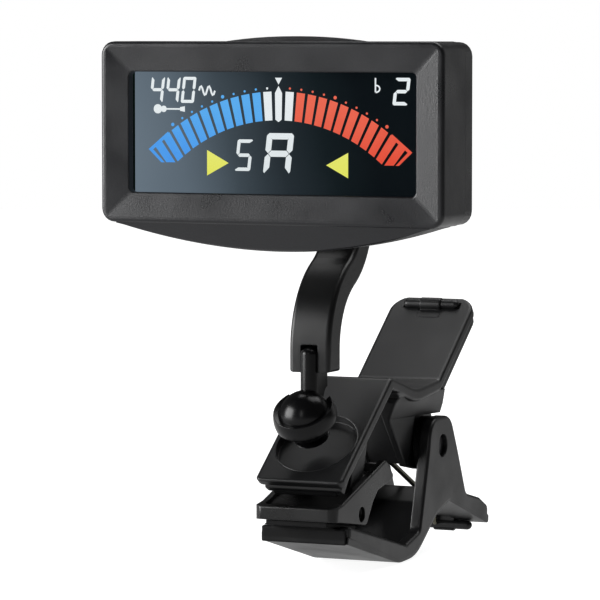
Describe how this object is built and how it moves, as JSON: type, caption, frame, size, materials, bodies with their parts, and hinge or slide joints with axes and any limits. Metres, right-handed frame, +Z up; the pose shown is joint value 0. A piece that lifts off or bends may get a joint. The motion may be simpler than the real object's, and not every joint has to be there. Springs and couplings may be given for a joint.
{
  "type": "clip-on tuner",
  "caption": "Clip-on instrument tuner: wide display head on a curved arm, ball joint, and a sprung two-jaw clip with rubber pads.",
  "frame": {"origin": "centre of the lower pad's gripping face, where the closed pads meet", "axes": "+Z up, +X across the clip to the right of someone reading the display, -Y toward the reader"},
  "size_m": [0.0592, 0.0745, 0.0869],
  "materials": {
    "case_plastic": "fine-grained satin charcoal",
    "window_glass": "clear with a faint grey tint",
    "lcd_glass": "dark display with bright segments",
    "clear_guide": "milky clear",
    "conductive_rubber": "matte",
    "board": "green solder mask",
    "chip_black": "matte",
    "piezo_brass": "plain brass",
    "bright_steel": "bright",
    "cell_steel": "brushed",
    "button_red": "satin",
    "button_grey": "satin",
    "dark_steel": "blackened",
    "washer_nylon": "matte",
    "arm_plastic": "satin black",
    "gloss_black": "glossy black",
    "seat_plastic": "satin black",
    "jaw_plastic": "satin black",
    "spring_wire": "drawn wire",
    "tray_plastic": "satin dark grey",
    "pad_rubber": "matte black"
  },
  "bodies": {
    "lower_jaw": {"lower_jaw": "jaw_plastic", "lower_pad": "pad_rubber", "pivot_pin": "bright_steel", "torsion_spring": "spring_wire"},
    "upper_jaw": {"upper_jaw": "jaw_plastic", "tray_pin": "bright_steel"},
    "pad_tray": {"pad_tray": "tray_plastic", "upper_pad": "pad_rubber"},
    "seat_ring": {"seat_ring": "seat_plastic"},
    "seat_cup": {"seat_cup": "seat_plastic"},
    "arm": {"arm": "arm_plastic", "ball_stem": "gloss_black"},
    "head": {"front_case": "case_plastic", "display_window": "window_glass", "lcd_panel": "lcd_glass", "light_guide": "clear_guide", "zebra_strips": "conductive_rubber", "circuit_board": "board", "tuner_chip": "chip_black", "piezo_disc": "piezo_brass", "dome_switches": "bright_steel", "negative_contact": "bright_steel", "positive_contact": "bright_steel", "coin_cell": "cell_steel", "rear_case": "case_plastic", "case_screws": "dark_steel", "tilt_pin": "bright_steel", "friction_washers": "washer_nylon"},
    "battery_cover": {"battery_cover": "case_plastic"},
    "power_button": {"power_button": "button_red"},
    "mode_button": {"mode_button": "button_grey"},
    "pitch_button": {"pitch_button": "button_grey"}
  },
  "joints": [
    {"name": "jaw_open", "type": "hinge", "parent": "lower_jaw", "child": "upper_jaw", "pos_m": [0, 0.032, 0.0109], "axis": [-1, 0, 0], "range_deg": [0, 35], "stiffness_Nm_per_rad": 0.1, "springref_deg": -91.67, "deforming": ["torsion_spring"]},
    {"name": "tray_rock", "type": "hinge", "parent": "upper_jaw", "child": "pad_tray", "pos_m": [0, -0.0012, 0.00285], "axis": [-1, 0, 0], "range_deg": [-11, 3]},
    {"name": "ball_lean", "type": "hinge", "parent": "upper_jaw", "child": "seat_ring", "pos_m": [0, -0.00747, 0.019], "axis": [0, 1, 0], "range_deg": [-7, 7]},
    {"name": "ball_tilt", "type": "hinge", "parent": "seat_ring", "child": "seat_cup", "pos_m": [0, -0.00747, 0.019], "axis": [1, 0, 0], "range_deg": [-4, 45]},
    {"name": "ball_turn", "type": "hinge", "parent": "seat_cup", "child": "arm", "pos_m": [0, -0.00747, 0.019], "axis": [0, 0, 1], "range_deg": [-10, 10]},
    {"name": "head_tilt", "type": "hinge", "parent": "arm", "child": "head", "pos_m": [0, -0.0041, 0.0641], "axis": [-1, 0, 0], "range_deg": [-25, 60]},
    {"name": "cover_twist", "type": "hinge", "parent": "head", "child": "battery_cover", "pos_m": [-0.0172, -0.0099, 0.0648], "axis": [0, 1, 0], "range_deg": [0, 45]},
    {"name": "power_press", "type": "slide", "parent": "head", "child": "power_button", "axis": [0, -1, 0], "range_m": [0, 0.0005], "stiffness_N_per_m": 8},
    {"name": "mode_press", "type": "slide", "parent": "head", "child": "mode_button", "axis": [0, -1, 0], "range_m": [0, 0.0005], "stiffness_N_per_m": 8},
    {"name": "pitch_press", "type": "slide", "parent": "head", "child": "pitch_button", "axis": [0, -1, 0], "range_m": [0, 0.0005], "stiffness_N_per_m": 8}
  ],
  "couplings": [
    {"joint": "tray_rock", "follows": "jaw_open", "ratio": -0.3}
  ]
}
